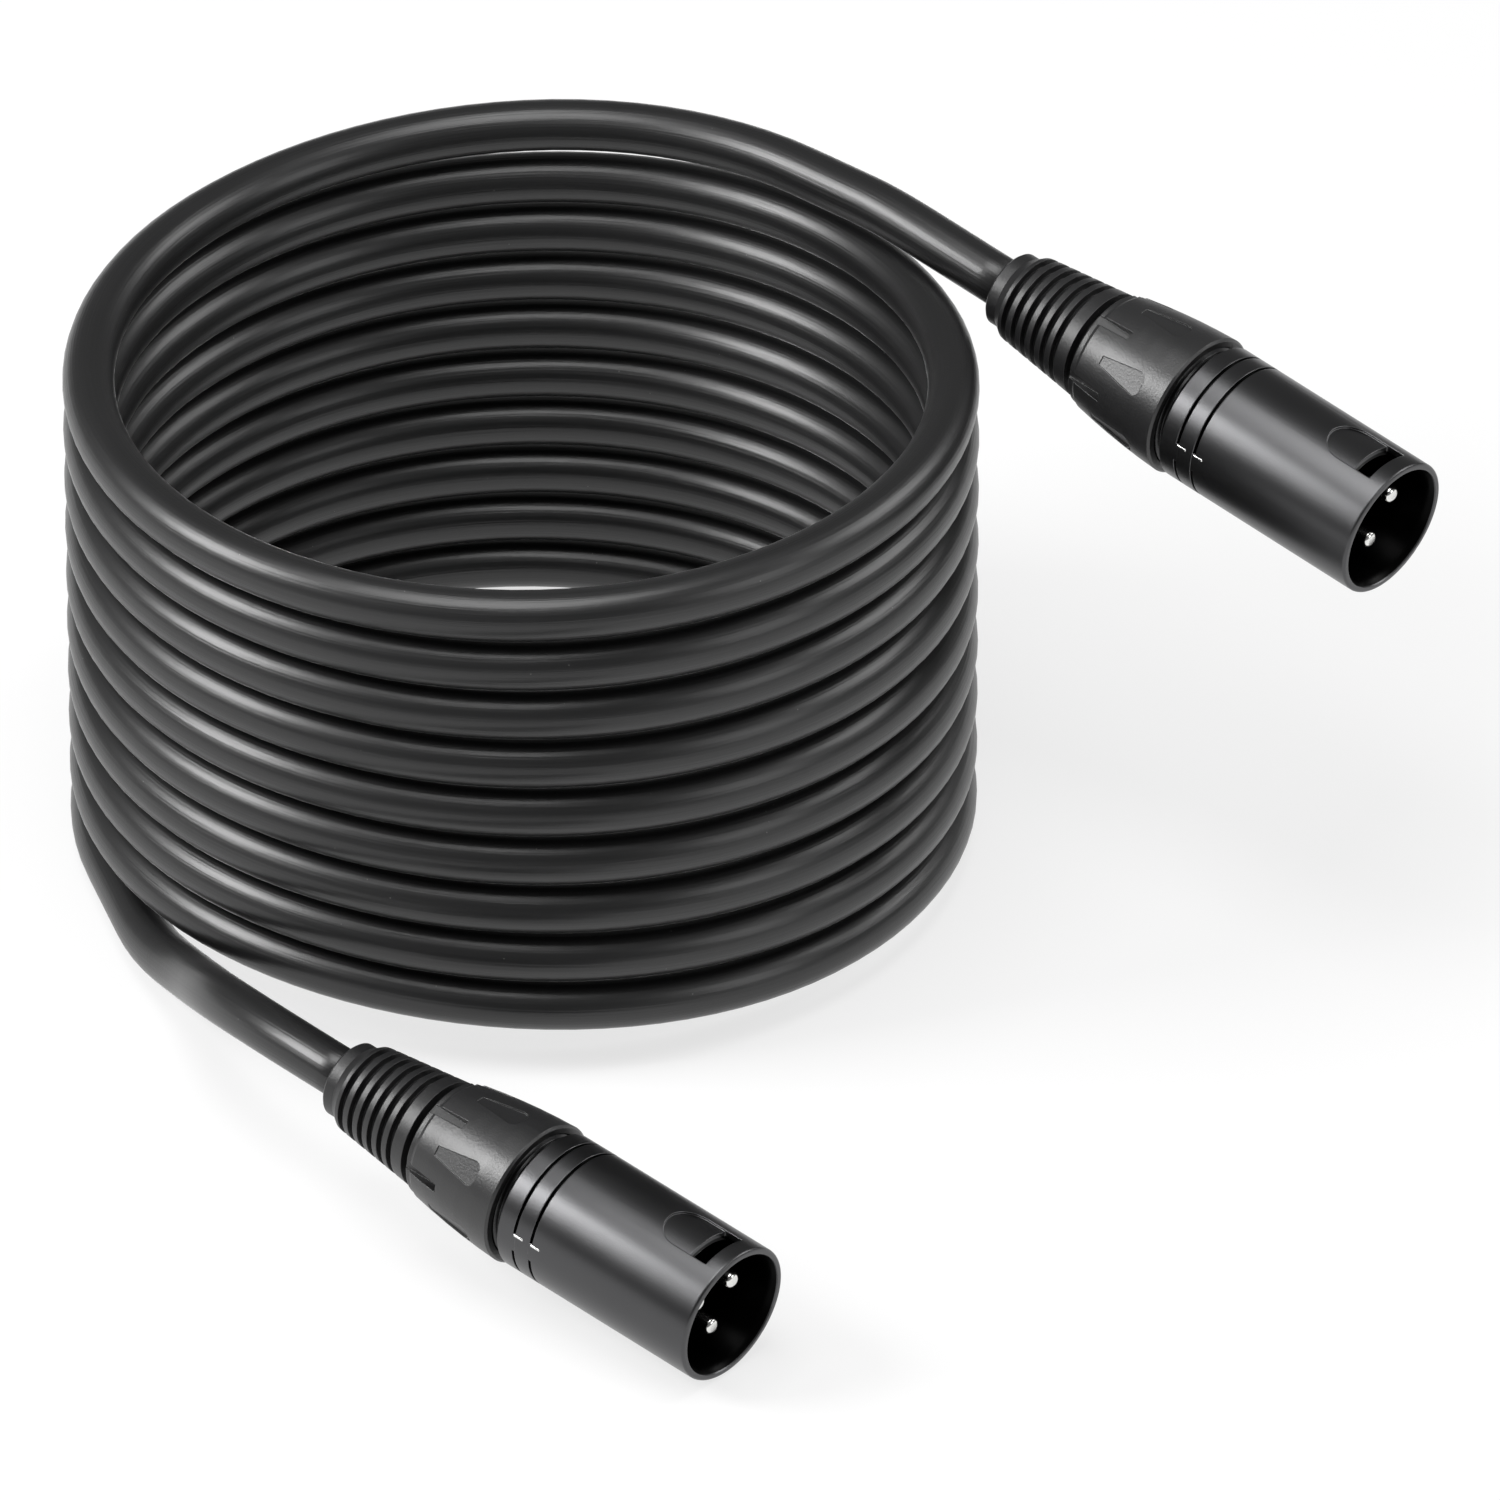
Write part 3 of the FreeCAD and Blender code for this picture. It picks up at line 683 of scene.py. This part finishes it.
# %% Threaded spigot
thread_pitch = 1.25
thread_root, thread_crest = 8.30, 8.70
thread_profile = ((0.0, thread_root), (0.30, thread_crest),
                  (0.45, thread_crest), (0.75, thread_root))  # shares of a pitch, radii
thread_end = shell_rear + 0.25         # the spigot runs this far into the shell
bore_radius = 7.8
spin_steps = 90


def threaded_spigot(side):
    """The spigot as a tube with a turned thread, from its rear to just inside the shell."""
    build = bmesh.new()
    corners, x = [], spigot_rear - 2 * thread_pitch
    while x < shell_rear + 2 * thread_pitch:
        for share, radius in thread_profile:
            corners.append(build.verts.new((x + share * thread_pitch, 0, radius)))
        x += thread_pitch
    line = [build.edges.new(pair) for pair in zip(corners, corners[1:])]
    bmesh.ops.spin(build, geom=corners + line, cent=(0, 0, 0), axis=(1, 0, 0),
                   dvec=(thread_pitch / spin_steps, 0, 0), angle=2 * math.pi,
                   steps=spin_steps)
    bmesh.ops.remove_doubles(build, verts=build.verts, dist=weld)
    cut_across(build, spigot_rear, keep_front=True)
    cut_across(build, thread_end, keep_front=False)
    for x in (spigot_rear, thread_end):
        grown = bmesh.ops.extrude_edge_only(build, edges=loops_at(build, x))["geom"]
        for vert in (v for v in grown if isinstance(v, bmesh.types.BMVert)):
            share = bore_radius / math.hypot(vert.co.y, vert.co.z)
            vert.co.y *= share
            vert.co.z *= share
    bmesh.ops.remove_doubles(build, verts=build.verts, dist=weld)
    bmesh.ops.bridge_loops(build, edges=[e for e in build.edges if e.is_boundary])
    return place_turned(side, "_threaded_spigot", build, thread_look)


for side in sides:
    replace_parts(shell_front(side), side + "_shell")
    threaded_spigot(side)

# %% [markdown]
# ## Bright slivers where the ring grooves end
# The two ring grooves stop at a plain bar on each side. On the bar's upper edge, where the
# light falls, a sliver of bright metal is a painted highlight: it stands for the glint
# there and also shines under the lamps. Each sliver is a cube pressed thin, its outer face
# pinched and all its edges bevelled, then laid on the shell with the plug's own frame.

# %% Groove-end glints, a painted highlight
ring_places = (2.7, 5.5)               # the grooves' rear edges, from the shell's rear
glint_offset = 0.95                     # from a groove's rear edge to its sliver's middle
glint_size, glint_bevel = (1.7, 0.42, 0.16), 0.05
glint_pinch = (0.78, 0.5)               # the outer face's length and width, as shares
bar_half, bar_overlap = 1.35, 0.22     # half the bar's width, and how far a glint sliver laps it


# Painted highlight: a bright sliver on the upper edge of each bar, at each groove's end.
def groove_glints(side):
    build = bmesh.new()
    for place in ring_places:
        for hand in (-1, 1):
            made = bmesh.ops.create_cube(build, size=1.0)["verts"]
            bmesh.ops.scale(build, vec=glint_size, verts=made)
            for vert in made:
                if vert.co.z > 0:
                    vert.co.x *= glint_pinch[0]
                    vert.co.y *= glint_pinch[1]
            lean = math.asin((bar_half - bar_overlap) / shell_radius)
            turn = Matrix.Rotation(hand * (lean - math.pi / 2), 3, "X")
            bmesh.ops.translate(build, verts=made, vec=(
                shell_rear + place + glint_offset, 0, shell_radius))
            bmesh.ops.rotate(build, verts=made, cent=(0, 0, 0), matrix=turn)
    bmesh.ops.bevel(build, geom=build.edges[:], offset=glint_bevel, segments=2,
                    profile=0.5, affect="EDGES", material=-1)
    return place_turned(side, "_groove_glints", build, glint_look, crease=180)


for side in sides:
    groove_glints(side)

# %% [markdown]
# ## The raised band between the ring grooves
# Between the two grooves the CAD mesh has coarse facets that cut across the round. The
# strip is turned again as its own band: one rectangle of four vertices, spun round the
# plug's axis and closed on itself. It covers those facets and stands proud by a hundredth
# of a millimetre.

# %% Ring bands
groove_width = 0.5
band_proud, band_depth = 0.01, 0.3
band_from = shell_rear + ring_places[0] + groove_width - band_proud
band_to = shell_rear + ring_places[1] + band_proud
band_inner, band_outer = shell_radius - band_depth, shell_radius + band_proud
band_steps = 120


def ring_band(side):
    build = bmesh.new()
    corners = [build.verts.new((x, 0, r)) for x, r in (
        (band_from, band_inner), (band_from, band_outer),
        (band_to, band_outer), (band_to, band_inner))]
    outline = [build.edges.new(pair) for pair in zip(corners, corners[1:] + corners[:1])]
    bmesh.ops.spin(build, geom=corners + outline, cent=(0, 0, 0), axis=(1, 0, 0),
                   angle=2 * math.pi, steps=band_steps, use_merge=True)
    bmesh.ops.remove_doubles(build, verts=build.verts, dist=weld)
    return place_turned(side, "_ring_band", build, shell_looks[side])


for side in sides:
    ring_band(side)

# %% [markdown]
# ## The cable's jacket
# The jacket is extruded, so its faults are long and thin: faint lines drawn along it, and
# under them the slow twist of the two cores, which shows as a shallow helix. Both follow
# the tube, so they read its UV map, where U runs along it and V around it. V is turned
# into a circle first, so that no line breaks where the map closes. Sheen gives the pale
# edge that soft vinyl shows where it curves out of sight.

# %% Group: drawn lines
drawn_group, entry, leaving = new_group(
    "drawn_jacket", {"Lines": 12.0, "Stretch": 10.0, "Lay Turns": 70.0},
    {"Lines": "Float", "Lay": "Float"})
place = add_node(drawn_group, "TexCoord")
parts = add_node(drawn_group, "SeparateXYZ")
wire(drawn_group, (place, "UV", parts, 0))
along, around, _ = parts.outputs
angle = chain(drawn_group, "MULTIPLY", around, 2 * math.pi)
circle = add_node(drawn_group, "CombineXYZ")
for axis, value in zip("XYZ", (
        chain(drawn_group, "COSINE", angle), chain(drawn_group, "SINE", angle),
        chain(drawn_group, "MULTIPLY", along, entry.outputs["Stretch"]))):
    drawn_group.links.new(value, circle.inputs[axis])
streaks = add_node(drawn_group, "TexNoise", in_Detail=3.0, in_Roughness=0.55)
wire(drawn_group,
     (circle, 0, streaks, "Vector"), (entry, "Lines", streaks, "Scale"),
     (streaks, "Fac", leaving, "Lines"))
lay_angle = chain(drawn_group, "MULTIPLY", along, entry.outputs["Lay Turns"])
lay_angle = chain(drawn_group, "MULTIPLY", lay_angle, 2 * math.pi)
lay_angle = chain(drawn_group, "MULTIPLY_ADD", angle, 2.0, lay_angle)
drawn_group.links.new(chain(drawn_group, "SINE", lay_angle), leaving.inputs["Lay"])
print("drawn jacket:", len(drawn_group.nodes), "nodes")

# %% The jacket's colour and gloss
line_share, patch_share, jacket_dust = 0.45, 0.55, 0.25

jacket_look = bpy.data.materials.new("cable_jacket")
jacket_look.use_nodes = True
tree = jacket_look.node_tree
shader = tree.nodes["Principled BSDF"]
for label, value in (("Specular IOR Level", 0.62), ("Sheen Weight", 0.45),
                     ("Sheen Roughness", 0.15), ("Coat Weight", 0.05),
                     ("Coat Roughness", 0.12)):
    shader.inputs[label].default_value = value
drawn = add_node(tree, "Group", node_tree=drawn_group)
grain = add_node(tree, "Group", node_tree=grain_group)
grain.inputs["Scale"].default_value = 2800.0
grain.inputs["Patch Scale"].default_value = 45.0
specks = add_node(tree, "Group", node_tree=dust_group)
patches = chain(tree, "MULTIPLY", grain.outputs["Patches"], patch_share)
mottle = chain(tree, "MULTIPLY_ADD", drawn.outputs["Lines"], line_share, patches)
vinyl = blend(tree, mottle, (0.0055, 0.0055, 0.0057, 1), (0.0115, 0.0115, 0.0119, 1))
dusted = chain(tree, "MULTIPLY", specks.outputs["Mask"], jacket_dust)
vinyl = blend(tree, dusted, vinyl, (0.30, 0.29, 0.28, 1))
tree.links.new(vinyl, shader.inputs["Base Color"])
gloss = add_node(tree, "MapRange", in_To_Min=0.30, in_To_Max=0.40)
tree.links.new(mottle, gloss.inputs["Value"])
wire(tree, (gloss, "Result", shader, "Roughness"))
print("jacket nodes before its bumps:", len(tree.nodes))

# %% The jacket's bumps
lay = add_node(tree, "Bump", in_Strength=1.0, in_Distance=0.00002)
lines = add_node(tree, "Bump", in_Strength=1.0, in_Distance=0.00004)
skin = add_node(tree, "Bump", in_Strength=1.0, in_Distance=0.000012)
wire(tree,
     (drawn, "Lay", lay, "Height"), (drawn, "Lines", lines, "Height"),
     (grain, "Height", skin, "Height"),
     (lay, "Normal", lines, "Normal"), (lines, "Normal", skin, "Normal"),
     (skin, "Normal", shader, "Normal"))
cable_mesh.materials.append(jacket_look)
print("jacket nodes:", len(tree.nodes))
